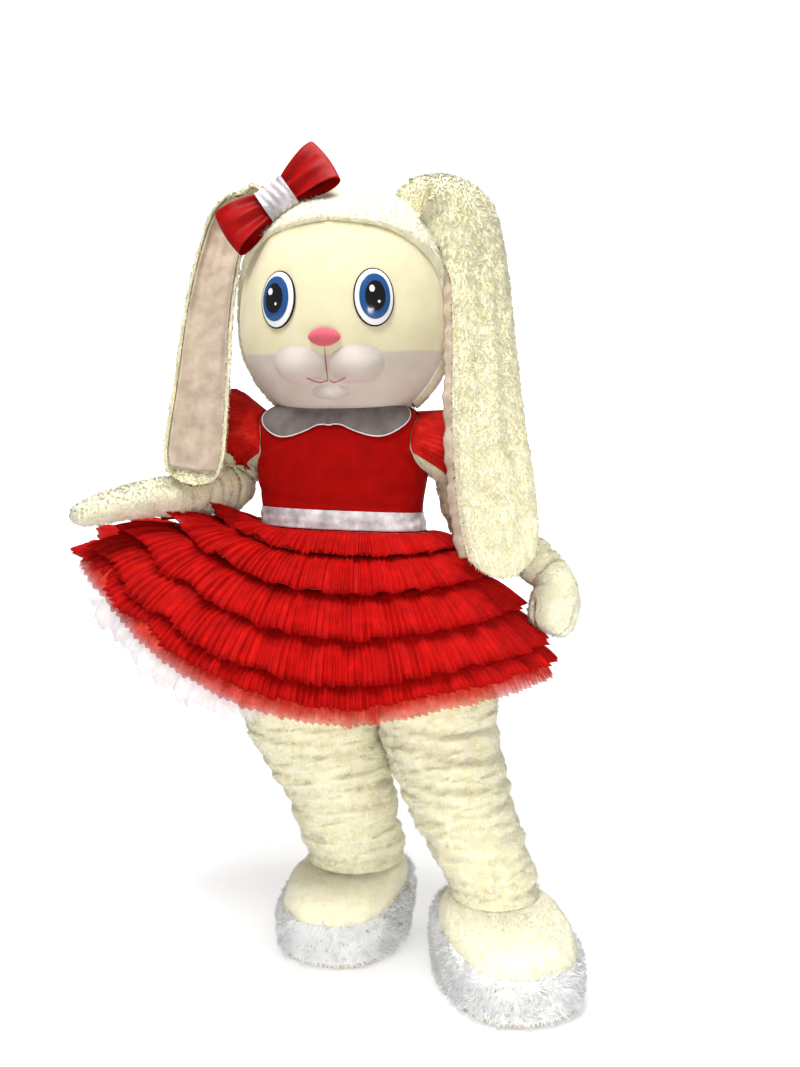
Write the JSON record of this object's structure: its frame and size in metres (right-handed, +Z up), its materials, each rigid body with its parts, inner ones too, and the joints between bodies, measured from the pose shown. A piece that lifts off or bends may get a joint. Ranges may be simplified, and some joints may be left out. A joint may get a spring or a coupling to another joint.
{
  "type": "rabbit mascot costume",
  "caption": "Hollow rabbit mascot costume in cream plush with lop ears, mitts and shoes, wearing a red dress with a tiered ruffle skirt, collar and bow.",
  "frame": {"origin": "between the wearer's shoulders, on the costume's middle line, where the wearer holds it up", "axes": "+Z up, the wearer faces -Y, and +X is the wearer's left"},
  "size_m": [1.2454, 0.8875, 1.9765],
  "materials": {
    "cream_plush": "long pile cream plush",
    "face_fleece": "short cream fleece",
    "white_fleece": "short white fleece",
    "white_fur": "long white fur",
    "ear_satin": "pinkish white satin",
    "red_cotton": "plain red cotton",
    "red_tulle": "pleated red tulle",
    "sheer_tulle": "sheer red tulle",
    "white_net": "white petticoat net",
    "collar_cotton": "pale grey cotton",
    "silver_satin": "silver white satin",
    "red_satin": "red satin",
    "eye_plastic": "glossy white",
    "iris_plastic": "glossy blue",
    "pupil_plastic": "glossy black",
    "nose_fleece": "pink fleece",
    "sole_rubber": "matt foam rubber"
  },
  "bodies": {
    "root": {"head_shell": "face_fleece", "hood": "cream_plush", "eye_right": "eye_plastic", "eye_left": "eye_plastic", "iris_right": "iris_plastic", "iris_left": "iris_plastic", "pupil_right": "pupil_plastic", "pupil_left": "pupil_plastic", "muzzle_right": "white_fleece", "muzzle_left": "white_fleece", "chin": "white_fleece", "nose": "nose_fleece", "ear_right": "cream_plush", "ear_left": "cream_plush", "ear_lining_right": "ear_satin", "ear_lining_left": "ear_satin", "bow_loop_right": "red_satin", "bow_loop_left": "red_satin", "bow_knot": "silver_satin", "body_front": "cream_plush", "body_back": "cream_plush", "sleeve_right": "cream_plush", "sleeve_left": "cream_plush", "mitt_right": "cream_plush", "mitt_left": "cream_plush", "leg_right": "cream_plush", "leg_left": "cream_plush", "shoe_upper_right": "cream_plush", "shoe_upper_left": "cream_plush", "shoe_trim_right": "white_fur", "shoe_trim_left": "white_fur", "sole_right": "sole_rubber", "sole_left": "sole_rubber", "bodice_front": "red_cotton", "bodice_back_left": "red_cotton", "bodice_back_right": "red_cotton", "collar_left": "collar_cotton", "collar_right": "collar_cotton", "flutter_sleeve_right": "sheer_tulle", "flutter_sleeve_left": "sheer_tulle", "belt": "silver_satin", "ruffle_1": "red_tulle", "ruffle_2": "red_tulle", "ruffle_3": "red_tulle", "ruffle_4": "red_tulle", "ruffle_5": "red_tulle", "underskirt": "sheer_tulle", "petticoat": "white_net"}
  },
  "joints": []
}
